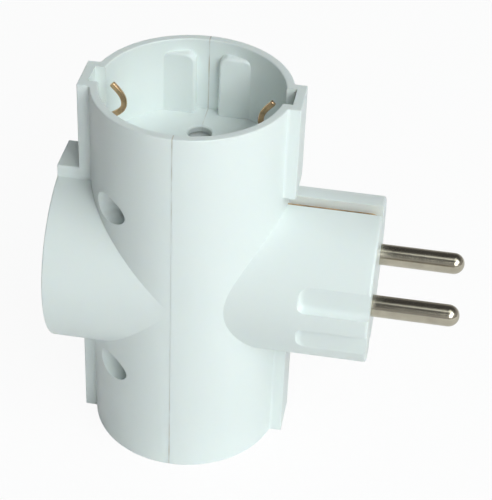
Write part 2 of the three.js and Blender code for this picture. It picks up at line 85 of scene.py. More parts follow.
class AdapterSizes(bpy.types.PropertyGroup):
    """Sizes of the moulded casing and of the metal inside it"""

    body_radius: millimetres("Body radius", "Outer radius of the tube and the side housing", SOCKET_HIGH.y)
    wall: millimetres("Wall", "Thickness of the recess wall", 1.9)
    recess_depth: millimetres("Recess depth", "From a rim to its socket floor", 17.5)
    floor: millimetres("Floor", "Thickness of a socket floor", 1.5)
    side_floor: millimetres("Side floor", "From the tube's axis to the side socket's floor", 10.9)
    rim_round: millimetres("Rim rounding", "Radius along the edges of the rims", 0.3)
    keyway_width: millimetres("Keyway width", "Width of the keyways in the rims", 6.3)
    keyway_depth: millimetres("Keyway depth", "How far a keyway goes into the wall", 2.0)
    keyway_wall: millimetres("Keyway wall", "Thickness of the ridge outside a keyway", 2.0)
    keyway_cheek: millimetres("Keyway cheek", "Thickness of the ridge beside a keyway", 2.0)
    root_fillet: millimetres("Root fillet", "Hollow fillet where a ridge leaves the tube", 1.0)
    pad_face: millimetres("Pad face", "From a recess's axis to the face of its guide pads", 17.0)
    pad_slot: millimetres("Pad slot", "Gap between the two guide pads of one side", 5.2)
    pad_below_rim: millimetres("Pad below rim", "From the rim down to a pad's top", 2.8)
    pad_corner: millimetres("Pad corner", "Radius of a pad's top corners", 2.0)
    pad_round: millimetres("Pad rounding", "Easing along a pad's edges", 0.7)
    pin_pitch: millimetres("Pin pitch", "Between the axes of the two pins", 19.0)
    pin_hole: millimetres("Pin hole", "Radius of the holes in a socket floor", 2.65)
    nose_radius: millimetres("Nose radius", "Radius of the plug nose", 18.5)
    nose_edge_length: millimetres("Nose edge length", "Length of the easing at the nose's end", 0.7)
    nose_edge_drop: millimetres("Nose edge drop", "Depth of the easing at the nose's end", 0.4)
    flat_face: millimetres("Flat face", "From the plug's axis to the flats on the nose", 16.6)
    flat_rib: millimetres("Flat rib", "Width of the rib between the flats", 4.5)
    flat_length: millimetres("Flat length", "Length of the flats", 15.4)
    flat_cove: millimetres("Flat cove", "Rounding at the inner end of the flats", 1.3)
    channel_width: millimetres("Channel width", "Width of the earth grooves on the nose", 3.6)
    channel_floor: millimetres("Channel floor", "From the plug's axis to the grooves' floor", 14.3)
    seam: millimetres("Seam", "Gap left between the casing halves", 0.02)


class AdapterFinish(bpy.types.PropertyGroup):
    """Colours of the adapter's materials"""

    casing: colour("Casing", "Moulded cool white plastic", "#EEF5F4")
    seam_dirt: colour("Seam dirt", "Brown tint that has settled along the joint", "#B8A284")
    nickel: colour("Nickel", "Plating on the pins", "#C6BEAD")
    bronze: colour("Bronze", "Stamped earth frame and forks", "#F4CBA0")
    brass: colour("Brass", "Busbars and rivets", "#C8A45A")
    zinc: colour("Zinc", "Plating on the casing screws", "#B8BCC2")
    floor: colour("Floor", "Pale floor", "#F7F7F7")


# Outlines and solids, in the bench frame

WIDE_TURN = 192
MID_TURN = 64
ARC_STEPS = 6
SHARP = math.radians(32)
MEETING = math.radians(3)


def size(name):
    """A size from the panel, in millimetres."""
    return getattr(bpy.context.scene.adapter_sizes, name) / MM


def rounded(corners, steps=ARC_STEPS):
    """A closed outline in which each corner (x, y, radius) has become an arc."""
    outline = []
    for i, (x, y, radius) in enumerate(corners):
        here = Vector((x, y))
        if radius == 0:
            outline.append(here)
            continue
        before = (Vector(corners[i - 1][:2]) - here).normalized()
        after = (Vector(corners[(i + 1) % len(corners)][:2]) - here).normalized()
        half = before.angle(after) / 2
        run = radius / math.tan(half)
        middle = here + (before + after).normalized() * radius / math.sin(half)
        start = here + before * run - middle
        end = here + after * run - middle
        for step in range(steps + 1):
            outline.append(middle + start.lerp(end, step / steps).normalized() * radius)
    return outline


surface_count = iter(range(1, 10000))


def finished(bm, name):
    """The mesh of a solid, whose faces carry a number of their own through later cuts."""
    bmesh.ops.recalc_face_normals(bm, faces=bm.faces)
    layer = bm.faces.layers.int.new("surface")
    number = next(surface_count)
    for face in bm.faces:
        face[layer] = number
    mesh = bpy.data.meshes.new(name)
    bm.to_mesh(mesh)
    bm.free()
    return mesh


def prism(outline, depth, ease=0.0, place=Matrix.Identity(4), segments=3):
    """A block with the outline as its section, centred along Z, its edges eased."""
    bm = bmesh.new()
    face = bm.faces.new([bm.verts.new((x, y, -depth / 2)) for x, y in outline])
    grown = bmesh.ops.extrude_face_region(bm, geom=[face])
    top = [item for item in grown["geom"] if isinstance(item, bmesh.types.BMVert)]
    bmesh.ops.translate(bm, verts=top, vec=(0, 0, depth))
    bmesh.ops.recalc_face_normals(bm, faces=bm.faces)
    if ease:
        edges = [edge for edge in bm.edges if edge.calc_face_angle(0) > SHARP]
        easing = {"offset": ease, "segments": segments, "profile": 0.5, "clamp_overlap": True}
        bmesh.ops.bevel(bm, geom=edges, affect="EDGES", **easing)
    bm.transform(place)
    return finished(bm, "prism")


def block(low, high, ease=0.0):
    low, high = Vector(low), Vector(high)
    x, y, z = high - low
    outline = [(-x / 2, -y / 2), (x / 2, -y / 2), (x / 2, y / 2), (-x / 2, y / 2)]
    return prism(outline, z, ease, Matrix.Translation((low + high) / 2))


def turned(profile, turn, place=Matrix.Identity(4)):
    """A turned solid about Z from (radius, height) pairs that start and end on the axis."""
    bm = bmesh.new()
    rings = []
    for radius, height in profile:
        count = turn if radius > 1e-6 else 1
        ring = []
        for k in range(count):
            angle = 2 * math.pi * k / turn
            ring.append(bm.verts.new((radius * math.cos(angle), radius * math.sin(angle), height)))
        rings.append(ring)
    for low, high in zip(rings, rings[1:]):
        for k in range(turn):
            after = k + 1
            corners = [low[k % len(low)], low[after % len(low)], high[after % len(high)], high[k % len(high)]]
            unique = list(dict.fromkeys(corners))
            if len(unique) > 2:
                bm.faces.new(unique)
    bm.transform(place)
    return finished(bm, "turned")


ALONG_X = Matrix.Rotation(math.pi / 2, 4, "Y")
TO_PLATE = Matrix.Rotation(math.pi / 2, 4, "X")


def rod(radius, start, end, turn=MID_TURN, place=Matrix.Identity(4)):
    return turned([(0, start), (radius, start), (radius, end), (0, end)], turn, place)


def rod_x(radius, start, end, y=0.0, z=0.0, turn=MID_TURN):
    return rod(radius, start, end, turn, Matrix.Translation((0, y, z)) @ ALONG_X)


def moved(mesh, place):
    copy = mesh.copy()
    copy.transform(place)
    return copy


def worked(base, *steps):
    """The mesh left after each (operation, tool) step, such as ("DIFFERENCE", mesh)."""
    scene = bpy.context.scene
    body = bpy.data.objects.new("work", base)
    scene.collection.objects.link(body)
    tools = []
    for operation, mesh in steps:
        tool = bpy.data.objects.new("tool", mesh)
        scene.collection.objects.link(tool)
        cut = body.modifiers.new("cut", "BOOLEAN")
        cut.solver = "MANIFOLD"
        cut.operation = operation
        cut.object = tool
        tools.append(tool)
    depsgraph = bpy.context.evaluated_depsgraph_get()
    result = bpy.data.meshes.new_from_object(body.evaluated_get(depsgraph))
    for item in [body, *tools]:
        bpy.data.objects.remove(item)
    check_closed(result)
    return result


def check_closed(mesh):
    bm = bmesh.new()
    bm.from_mesh(mesh)
    loose = sum(1 for edge in bm.edges if len(edge.link_faces) != 2)
    volume = bm.calc_volume(signed=True)
    bm.free()
    if loose or volume <= 0:
        raise RuntimeError(f"a solid came out open: {loose} loose edges, volume {volume:.1f}")


def socket_places():
    """The frame of each socket: Z comes out of its mouth and its floor is at Z = 0."""
    height = SOCKET_HIGH.z - size("recess_depth")
    return {
        "top": Matrix.Translation((0, 0, height)),
        "bottom": Matrix.Translation((0, 0, -height)) @ Matrix.Rotation(math.pi, 4, "Y"),
        "side": Matrix.Translation((-size("side_floor"), 0, 0)) @ Matrix.Rotation(-math.pi / 2, 4, "Y"),
    }


def screw_places():
    bottom = node_box("screw_lower_front")
    top = node_box("screw_upper_back")
    y = (top[0].y + top[1].y) / 2
    z = (top[0].z + top[1].z) / 2
    shoulder = bottom[0].x - TUBE_X
    return [(-y, z), (y, z), (-y, -z), (y, -z)], shoulder


def crease(mesh):
    """Smooth shading, with sharp edges at corners and wherever two different surfaces meet."""
    bm = bmesh.new()
    bm.from_mesh(mesh)
    layer = bm.faces.layers.int.get("surface")
    for face in bm.faces:
        face.smooth = True
    for edge in bm.edges:
        angle = edge.calc_face_angle(math.pi)
        meeting = layer and len({face[layer] for face in edge.link_faces}) > 1
        edge.smooth = angle < (MEETING if meeting else SHARP)
    bm.to_mesh(mesh)
    bm.free()


def piece(name, mesh, material, slot, *nodes):
    """A finished piece in the row frame: it rides on the body and stands for its CAD nodes."""
    mesh.transform(PLACE)
    crease(mesh)
    mesh.materials.clear()
    mesh.materials.append(material)
    body = bpy.data.objects.new(name, mesh)
    bpy.context.scene.collection.objects.link(body)
    even = body.modifiers.new("even_normals", "WEIGHTED_NORMAL")
    even.keep_sharp = True
    even.mode = "FACE_AREA_WITH_ANGLE"
    depsgraph = bpy.context.evaluated_depsgraph_get()
    shaded = bpy.data.meshes.new_from_object(body.evaluated_get(depsgraph))
    body.modifiers.clear()
    body.data = shaded
    shaded.name = name
    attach(body, "root")
    if nodes:
        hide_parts(*nodes)
    return body


# Casing

OVERSHOOT = 1.0
PART_GAP = 0.3
SLOT_HALF = 0.7
STRIP = 1.2

RIDGE_FOOT_SINK = 0.25
RIDGE_ABOVE_NOSE = 3.6
PAD_IN_WALL = 0.4
LEAD_IN = 0.3
CLIP_SLOT_START = 12.85
SLIT_SPARE = 0.2

NOSE_FACE_WALL = 3.0
NOSE_HOLLOW_RADIUS = 13.0
NOSE_RIB_START = 17.5
NOSE_RIB_OFFSET = 3.5
NOSE_RIB_HALF = 0.5
NOSE_RIB_REACH = 20.0
BOSS_RADIUS = 4.4
PIN_BOSS_START = 3.5
KEYWAY_INNER_WALL = 1.7
# Beside the rib and at the nose's rim
FLAT_CORNERS = (1.5, 3.0)
GROOVE_PROUD = 0.02
PASSAGE_START = 14.0
PASSAGE_HEIGHT = 3.2
PIN_BORE_RADIUS = 2.5
PIN_BORE_START = 28.0

POCKET_RADIUS = 3.2
# From the top of a screw's head down to the floor of its pocket
POCKET_SEAT = 2.0
PILOT_RADIUS = 1.6
PILOT_DEPTH = 16.0
SPIGOT_RADIUS = 2.9
SPIGOT_HEIGHT = 1.2
SPIGOT_GAP = 0.2
PILOT_TURN = 32


def recess_radius():
    return size("body_radius") - size("wall")


def keyway_reach():
    return recess_radius() + size("keyway_depth")


def quarter(steps):
    """Angles from level to upright in even steps."""
    return [step / steps * math.pi / 2 for step in range(steps + 1)]


def ridge(low, high, turn=0.0, lay=Matrix.Identity(4)):
    """A ridge over a keyway, along Z, with hollow fillets at its root."""
    half = size("keyway_width") / 2 + size("keyway_cheek")
    reach = keyway_reach() + size("keyway_wall")
    foot = half + size("root_fillet")
    foot_x = math.sqrt(size("body_radius") ** 2 - foot ** 2) - RIDGE_FOOT_SINK
    side_x = math.sqrt(size("body_radius") ** 2 - half ** 2)
    # Both a little under the room that they have, so that no two arcs meet
    hollow = size("root_fillet") * 0.9
    edge = size("rim_round")
    ease = edge * 0.8
    outline = rounded([
        (0, -foot, 0), (foot_x, -foot, 0), (side_x, -half, hollow), (reach, -half, edge),
        (reach, half, edge), (side_x, half, hollow), (foot_x, foot, 0), (0, foot, 0),
    ])
    middle = Matrix.Translation((0, 0, (low + high) / 2))
    return prism(outline, high - low, ease, lay @ Matrix.Rotation(turn, 4, "Z") @ middle)


def housing(start, end, place=Matrix.Identity(4), start_edge=0.0):
    """The round outside of the tube or of the side socket."""
    radius, edge = size("body_radius"), size("rim_round")
    profile = rounded([(0, start, 0), (radius, start, start_edge), (radius, end, edge), (0, end, 0)])
    return turned([tuple(point) for point in profile], WIDE_TURN, place)


def nose():
    """The round outside of the plug, eased at its end."""
    radius, drop, length = size("nose_radius"), size("nose_edge_drop"), size("nose_edge_length")
    profile = [(0, 0), (radius, 0)]
    for angle in quarter(ARC_STEPS + 2):
        across = radius - drop * (1 - math.cos(angle))
        profile.append((across, NOSE_REACH - length * (1 - math.sin(angle))))
    return turned(profile + [(0, NOSE_REACH)], WIDE_TURN, ALONG_X)


def recess():
    """What a recess takes away, in its socket's frame, with its guide pads left standing."""
    radius = recess_radius()
    depth, edge = size("recess_depth"), size("rim_round")
    top = depth + OVERSHOOT
    bowl = [(0, 0), (radius, 0)]
    for angle in quarter(ARC_STEPS):
        bowl.append((radius + edge * (1 - math.cos(angle)), depth - edge * (1 - math.sin(angle))))
    bowl += [(radius + edge, top), (0, top)]
    near = size("pad_slot") / 2
    far = math.sqrt(radius ** 2 - size("pad_face") ** 2) + PAD_IN_WALL
    pad_top = depth - size("pad_below_rim")
    corner = size("pad_corner")
    foot = -2 * OVERSHOOT
    outline = rounded([(near, foot, 0), (far, foot, 0), (far, pad_top, corner), (near, pad_top, corner)])
    thick = size("body_radius") - size("pad_face")
    steps = []
    for side in (-1, 1):
        shift = Matrix.Translation((0, side * (size("pad_face") + thick / 2), 0))
        for turn in (0, math.pi):
            place = shift @ Matrix.Rotation(turn, 4, "Z") @ TO_PLATE
            steps.append(("DIFFERENCE", prism(outline, thick, size("pad_round"), place)))
    reach = keyway_reach()
    half = size("keyway_width") / 2
    steps.append(("UNION", block((-reach, -half, 0), (reach, half, top))))
    return worked(turned(bowl, WIDE_TURN), *steps)


def floor_holes(slot_start, slot_depth):
    """Pin holes with a short lead-in and slots for the earth frame, in a socket's frame."""
    hole = size("pin_hole")
    under = -size("floor") - PART_GAP
    profile = [(0, under), (hole, under), (hole, -LEAD_IN), (hole + LEAD_IN, 0)]
    profile += [(hole + LEAD_IN, OVERSHOOT), (0, OVERSHOOT)]
    tools = []
    for side in (-1, 1):
        middle = Matrix.Translation((0, side * size("pin_pitch") / 2, 0))
        tools.append(turned(profile, MID_TURN, middle))
        start, end = sorted((side * slot_start, side * keyway_reach()))
        tools.append(block((start, -SLOT_HALF, -slot_depth), (end, SLOT_HALF, OVERSHOOT)))
    return tools


def cavity():
    """The hollow between the floors, less the side socket's back, the bosses and the ribs."""
    radius = recess_radius()
    body = size("body_radius")
    far = -body - 3 * OVERSHOOT
    under = SOCKET_HIGH.z - size("recess_depth") - size("floor")
    back = -size("side_floor") + size("floor")
    end = NOSE_REACH - NOSE_FACE_WALL
    boss_start = PIN_LOW.x - TUBE_X + PIN_BOSS_START
    half = size("keyway_width") / 2 + size("keyway_cheek")
    reach = keyway_reach() + KEYWAY_INNER_WALL
    steps = [
        ("DIFFERENCE", rod_x(body, far, back, turn=WIDE_TURN)),
        ("DIFFERENCE", block((far, -half, -reach), (back, half, reach))),
        ("UNION", rod_x(NOSE_HOLLOW_RADIUS, 0, end)),
    ]
    past = end + OVERSHOOT
    for side in (-1, 1):
        steps.append(("DIFFERENCE", rod_x(BOSS_RADIUS, boss_start, past, side * size("pin_pitch") / 2)))
        rib = side * NOSE_RIB_OFFSET
        low = (NOSE_RIB_START, rib - NOSE_RIB_HALF, -NOSE_RIB_REACH)
        steps.append(("DIFFERENCE", block(low, (past, rib + NOSE_RIB_HALF, NOSE_RIB_REACH))))
    for y, z in screw_places()[0]:
        steps.append(("DIFFERENCE", rod_x(BOSS_RADIUS, -body, body, y, z)))
    return worked(rod(radius, -under, under, WIDE_TURN), *steps)


def nose_cuts():
    """Flats, grooves, passages and pin bores of the nose."""
    end = NOSE_REACH + 2 * OVERSHOOT
    start = NOSE_REACH - size("flat_length")
    radius, face, body = size("nose_radius"), size("flat_face"), size("body_radius")
    top = math.sqrt(radius ** 2 - face ** 2) + OVERSHOOT
    rib = size("flat_rib") / 2
    inner, outer = FLAT_CORNERS
    outline = rounded([(start, rib, inner), (end, rib, 0), (end, top, 0), (start, top, outer)])
    depth = radius - face + 2 * OVERSHOOT
    half, level = size("channel_width") / 2, size("channel_floor")
    tools = []
    for side in (-1, 1):
        shift = Matrix.Translation((0, side * (face + depth / 2), 0))
        for turn in (0, math.pi):
            place = shift @ Matrix.Rotation(turn, 4, "X") @ TO_PLATE
            tools.append(prism(outline, depth, size("flat_cove"), place, segments=5))
        low, high = sorted((side * level, side * (radius + GROOVE_PROUD)))
        tools.append(block((body, -half, low), (end, half, high)))
        low, high = sorted((side * level, side * (level + PASSAGE_HEIGHT)))
        tools.append(block((PASSAGE_START, -SLOT_HALF, low), (body + OVERSHOOT, SLOT_HALF, high)))
        tools.append(rod_x(PIN_BORE_RADIUS, PIN_BORE_START, end, side * size("pin_pitch") / 2))
    return tools


def screw_cuts():
    """Head pockets and pilot holes of the casing screws."""
    places, head = screw_places()
    outside = -size("body_radius") - 2 * OVERSHOOT
    tools = []
    for y, z in places:
        tools.append(rod_x(POCKET_RADIUS, outside, head + POCKET_SEAT, y, z))
        tools.append(rod_x(PILOT_RADIUS, head + OVERSHOOT, head + PILOT_DEPTH, y, z, turn=PILOT_TURN))
    return tools


def whole_casing():
    """Both casing halves in one, with everything cut that either of them has cut."""
    top = SOCKET_HIGH.z
    places = socket_places()
    side_length = size("side_floor") + size("recess_depth")
    along = Matrix.Rotation(-math.pi / 2, 4, "Y")
    steps = [
        ("UNION", housing(-size("side_floor"), size("recess_depth"), places["side"])),
        ("UNION", nose()),
        ("UNION", ridge(size("nose_radius") + RIDGE_ABOVE_NOSE, top)),
        ("UNION", ridge(-top, 0)),
        ("UNION", ridge(-top, top, math.pi)),
        ("UNION", ridge(0, side_length, 0, along)),
        ("UNION", ridge(0, side_length, math.pi, along)),
        ("DIFFERENCE", cavity()),
    ]
    bowl = recess()
    floor = size("floor") + PART_GAP
    for name, place in places.items():
        steps.append(("DIFFERENCE", moved(bowl, place)))
        slot = (CLIP_SLOT_START, floor) if name == "side" else (0, floor + STRIP + SLIT_SPARE)
        for tool in floor_holes(*slot):
            steps.append(("DIFFERENCE", moved(tool, place)))
    for tool in nose_cuts() + screw_cuts():
        steps.append(("DIFFERENCE", tool))
    return worked(housing(-top, top, start_edge=size("rim_round")), *steps)


class ADAPTER_OT_casing(bpy.types.Operator):
    """Mould the two casing halves that meet on the plane through the tube's axis"""

    bl_idname = "adapter.casing"
    bl_label = "Casing Halves"

    def execute(self, context):
        whole = whole_casing()
        far = 200
        gap = size("seam") / 2
        left = block((-far, -far, -far), (-gap, far, far))
        right = block((gap, -far, -far), (far, far, far))
        spigots, sockets = [], []
        for y, z in screw_places()[0]:
            bore = rod_x(PILOT_RADIUS, -2 * OVERSHOOT, 2 * OVERSHOOT, y, z, turn=PILOT_TURN)
            ring = worked(rod_x(SPIGOT_RADIUS, -OVERSHOOT, SPIGOT_HEIGHT, y, z), ("DIFFERENCE", bore))
            spigots.append(("UNION", ring))
            hollow = rod_x(SPIGOT_RADIUS + SPIGOT_GAP, -OVERSHOOT, SPIGOT_HEIGHT + SPIGOT_GAP, y, z)
            sockets.append(("DIFFERENCE", hollow))
        plastic = moulded_abs()
        socket_half = worked(whole.copy(), ("INTERSECT", left), *spigots)
        plug_half = worked(whole, ("INTERSECT", right), *sockets)
        piece("casing_socket_half_skin", socket_half, plastic, "casing", "casing_socket_half")
        piece("casing_plug_half_skin", plug_half, plastic, "casing", "casing_plug_half")
        return {"FINISHED"}


# Metal parts

PIN_RADIUS = 2.4
CLENCH_RADIUS = 2.3
CLENCH_HEIGHT = 0.8
NECK_RADIUS = 1.6
NECK_LENGTH = 2.0
COLLAR_RADIUS = 3.4
COLLAR_LENGTH = 1.5
PIN_TURN = 96
TIP_STEPS = 16


class ADAPTER_OT_pins(bpy.types.Operator):
    """Turn the two plug pins, with round tips and collars behind the nose"""

    bl_idname = "adapter.pins"
    bl_label = "Plug Pins"

    def execute(self, context):
        start = PIN_LOW.x - TUBE_X
        tip = PIN_HIGH.x - TUBE_X
        clenched = start + CLENCH_HEIGHT
        collar = start + NECK_LENGTH
        shank = collar + COLLAR_LENGTH
        profile = [(0, start), (CLENCH_RADIUS, start), (CLENCH_RADIUS, clenched), (NECK_RADIUS, clenched)]
        profile += [(NECK_RADIUS, collar), (COLLAR_RADIUS, collar)]
        profile += [(COLLAR_RADIUS, shank), (PIN_RADIUS, shank)]
        for angle in quarter(TIP_STEPS)[:-1]:
            profile.append((PIN_RADIUS * math.cos(angle), tip - PIN_RADIUS + PIN_RADIUS * math.sin(angle)))
        profile.append((0, tip))
        pin = turned(profile, PIN_TURN, ALONG_X)
        half = size("pin_pitch") / 2
        nickel = nickel_plate()
        for name, side in (("pin_line", -1), ("pin_neutral", 1)):
            mesh = moved(pin, Matrix.Translation((0, side * half, 0)))
            piece(name + "_turned", mesh, nickel, "pins", name)
        return {"FINISHED"}


# Earth frame: bronze sheet on edge, cut to strips and bars
SHEET = 1.0
SHEET_EASE = 0.12
CLIP_EASE = 0.25
CLIP_TOUCH = 14.05
CLIP_START_BELOW_RIM = 13.2
CLIP_TOUCH_BELOW_RIM = 6.5
CLIP_TIP_BELOW_RIM = 1.9
CLIP_TIP_OUT = 2.6
CLIP_INWARD_STEPS = 18
CLIP_OUTWARD_STEPS = 14
WINDOW_RIGHT = 16.4
WINDOW_BAR = 2.4
WINDOW_MIDDLE_HALF = 1.5
WINDOW_CORNER = 1.5
ARM_START = 14.2
ARM_HEIGHT = 2.6
ARM_END_GAP = 0.2
ARM_SLOPE = (2.0, 0.6)
ARM_CORNERS = (0.2, 0.3, 1.5)


def ribbon(points, width):
    """The outline of a strip of even width along a centreline."""
    left, right = [], []
    for i, point in enumerate(points):
        before = points[max(i - 1, 0)]
        after = points[min(i + 1, len(points) - 1)]
        along = (after - before).normalized()
        across = Vector((-along.y, along.x)) * width / 2
        left.append(point + across)
        right.append(point - across)
    return [tuple(point) for point in left + right[::-1]]


def bezier(a, b, c, d, steps):
    """Points of a cubic curve after its first one."""
    points = []
    for step in range(1, steps + 1):
        t = step / steps
        s = 1 - t
        points.append(a * s ** 3 + b * 3 * s * s * t + c * 3 * s * t * t + d * t ** 3)
    return points


def clip_arm(root, place):
    """One sprung arm: up behind the keyway's face, in to the touching knee, out to the tip."""
    rim = size("recess_depth")
    middle = keyway_reach() - PART_GAP - STRIP / 2
    touch = CLIP_TOUCH + STRIP / 2
    low, knee, end = rim - CLIP_START_BELOW_RIM, rim - CLIP_TOUCH_BELOW_RIM, rim - CLIP_TIP_BELOW_RIM
    # How far the curves keep their first and last direction
    bend = Vector((0, (knee - low) * 0.45))
    tip = Vector((0, (end - knee) * 0.4))
    start, inner = Vector((middle, low)), Vector((touch, knee))
    outer = Vector((touch + CLIP_TIP_OUT, end))
    flare = Vector((touch + CLIP_TIP_OUT / 3, end)) - tip
    points = [Vector((middle, root)), start]
    points += bezier(start, start + bend, inner - bend, inner, CLIP_INWARD_STEPS)
    points += bezier(inner, inner + tip, flare, outer, CLIP_OUTWARD_STEPS)
    return prism(ribbon(points, STRIP), SHEET, CLIP_EASE, place @ TO_PLATE)


def plate(left, right, low, high, thick, ease=0.0):
    """A plate with rounded corners in the earth frame's plane."""
    corners = ((left, low), (right, low), (right, high), (left, high))
    return prism(rounded([(x, z, WINDOW_CORNER) for x, z in corners]), thick, ease, TO_PLATE)


class ADAPTER_OT_earth_frame(bpy.types.Operator):
    """Stamp the earth frame: a window of strip with six clip arms and two nose arms"""

    bl_idname = "adapter.earth_frame"
    bl_label = "Earth Frame"

    def execute(self, context):
        under_floor = size("floor") + PART_GAP
        web = SOCKET_HIGH.z - size("recess_depth") - under_floor
        left = -size("side_floor") + under_floor
        outer = keyway_reach() - PART_GAP
        window = plate(left, WINDOW_RIGHT, -web, web, SHEET, SHEET_EASE)
        steps = []
        for low, high in ((WINDOW_MIDDLE_HALF, web - STRIP), (STRIP - web, -WINDOW_MIDDLE_HALF)):
            opening = plate(left + WINDOW_BAR, WINDOW_RIGHT - WINDOW_BAR, low, high, 3 * SHEET)
            steps.append(("DIFFERENCE", opening))
        low = size("channel_floor") + PART_GAP
        high = low + ARM_HEIGHT
        end = NOSE_REACH - ARM_END_GAP
        foot, lip, slope = ARM_CORNERS
        arm = rounded([
            (ARM_START, low, 0), (end, low, foot), (end, high - ARM_SLOPE[1], lip),
            (end - ARM_SLOPE[0], high, slope), (ARM_START, high, 0),
        ])
        for side in (1, -1):
            start, stop = sorted((side * web, side * (web - STRIP)))
            bar = block((-outer, -SHEET / 2, start), (outer, SHEET / 2, stop), SHEET_EASE)
            turn = Matrix.Rotation(0 if side > 0 else math.pi, 4, "X")
            steps.append(("UNION", bar))
            steps.append(("UNION", prism(arm, SHEET, SHEET_EASE, turn @ TO_PLATE, segments=2)))
        for name, place in socket_places().items():
            root = -under_floor - (STRIP if name == "side" else STRIP / 2)
            for turn in (0, math.pi):
                steps.append(("UNION", clip_arm(root, place @ Matrix.Rotation(turn, 4, "Z"))))
        mesh = worked(window, *steps)
        piece("earth_frame_stamped", mesh, phosphor_bronze(), "contacts", "earth_frame")
        return {"FINISHED"}


def placed_copies_tree():
    """A node tree that sets a copy of one object on each point, turned by the point's facing."""
    tree = bpy.data.node_groups.get("placed_copies")
    if tree:
        return tree
    tree = bpy.data.node_groups.new("placed_copies", "GeometryNodeTree")
    sockets = {
        "Places": "NodeSocketGeometry", "Copy": "NodeSocketObject",
        "Scale": "NodeSocketFloat", "Finish": "NodeSocketMaterial",
    }
    for name, kind in sockets.items():
        tree.interface.new_socket(name, in_out="INPUT", socket_type=kind)
    tree.interface.new_socket("Copies", in_out="OUTPUT", socket_type="NodeSocketGeometry")
    given = add(tree, "NodeGroupInput")
    source = add(tree, "GeometryNodeObjectInfo", links={"Object": given.outputs["Copy"]})
    facing = add(tree, "GeometryNodeInputNamedAttribute", {"Name": "facing"}, data_type="FLOAT_VECTOR")
    turn = add(tree, "FunctionNodeEulerToRotation", links={"Euler": facing.outputs["Attribute"]})
    copies = add(tree, "GeometryNodeInstanceOnPoints", links={
        "Points": given.outputs["Places"], "Instance": source.outputs["Geometry"],
        "Rotation": turn.outputs["Rotation"], "Scale": given.outputs["Scale"],
    })
    real = add(tree, "GeometryNodeRealizeInstances", links={"Geometry": copies.outputs["Instances"]})
    finish = add(tree, "GeometryNodeSetMaterial", links={
        "Geometry": real.outputs["Geometry"], "Material": given.outputs["Finish"],
    })
    add(tree, "NodeGroupOutput", links={"Copies": finish.outputs["Geometry"]})
    return tree


def thread_tree():
    """A node tree that winds a screw thread round the solid it is given."""
    tree = bpy.data.node_groups.get("screw_thread")
    if tree:
        return tree
    tree = bpy.data.node_groups.new("screw_thread", "GeometryNodeTree")
    tree.interface.new_socket("Blank", in_out="INPUT", socket_type="NodeSocketGeometry")
    for name in ("Turns", "Radius", "Length", "Depth"):
        tree.interface.new_socket(name, in_out="INPUT", socket_type="NodeSocketFloat")
    tree.interface.new_socket("Finish", in_out="INPUT", socket_type="NodeSocketMaterial")
    tree.interface.new_socket("Screw", in_out="OUTPUT", socket_type="NodeSocketGeometry")
    given = add(tree, "NodeGroupInput")
    helix = add(tree, "GeometryNodeCurveSpiral", {"Resolution": 20}, {
        "Rotations": given.outputs["Turns"], "Start Radius": given.outputs["Radius"],
        "End Radius": given.outputs["Radius"], "Height": given.outputs["Length"],
    })
    section = add(tree, "GeometryNodeCurvePrimitiveCircle", {"Resolution": 4}, {
        "Radius": given.outputs["Depth"],
    })
    wound = add(tree, "GeometryNodeCurveToMesh", {"Fill Caps": True}, {
        "Curve": helix.outputs["Curve"], "Profile Curve": section.outputs["Curve"],
    })
    joined = add(tree, "GeometryNodeJoinGeometry")
    tree.links.new(given.outputs["Blank"], joined.inputs["Geometry"])
    tree.links.new(wound.outputs["Mesh"], joined.inputs["Geometry"])
    real = add(tree, "GeometryNodeRealizeInstances", links={"Geometry": joined.outputs["Geometry"]})
    finish = add(tree, "GeometryNodeSetMaterial", links={
        "Geometry": real.outputs["Geometry"], "Material": given.outputs["Finish"],
    })
    add(tree, "NodeGroupOutput", links={"Screw": finish.outputs["Geometry"]})
    return tree


def applied(body, tree, **values):
    """The plain mesh that a node tree makes of an object."""
    modifier = body.modifiers.new(tree.name, "NODES")
    modifier.node_group = tree
    for item in tree.interface.items_tree:
        if item.in_out == "INPUT" and item.name in values:
            modifier[item.identifier] = values[item.name]
    depsgraph = bpy.context.evaluated_depsgraph_get()
    mesh = bpy.data.meshes.new_from_object(body.evaluated_get(depsgraph))
    body.modifiers.remove(modifier)
    return mesh


def placed_copies(mesh, places, material):
    """One mesh with a copy of the given mesh at each place."""
    points = bpy.data.meshes.new("points")
    points.from_pydata([place.translation for place in places], [], [])
    facing = points.attributes.new("facing", "FLOAT_VECTOR", "POINT")
    for i, place in enumerate(places):
        facing.data[i].vector = place.to_euler()
    base = bpy.data.objects.new("places", points)
    copy = bpy.data.objects.new("copy", mesh)
    for item in (base, copy):
        bpy.context.scene.collection.objects.link(item)
    result = applied(base, placed_copies_tree(), Copy=copy, Scale=1.0, Finish=material)
    bpy.data.objects.remove(base)
    bpy.data.objects.remove(copy)
    return result


RIVET_SHANK = 1.0
RIVET_RISE = 0.5
# Width of a head's flat top as a share of the head, and the arcs at its top and rim
RIVET_CROWN = 0.75
RIVET_ARCS = (0.2, 0.1)
RIVET_TURN = 32


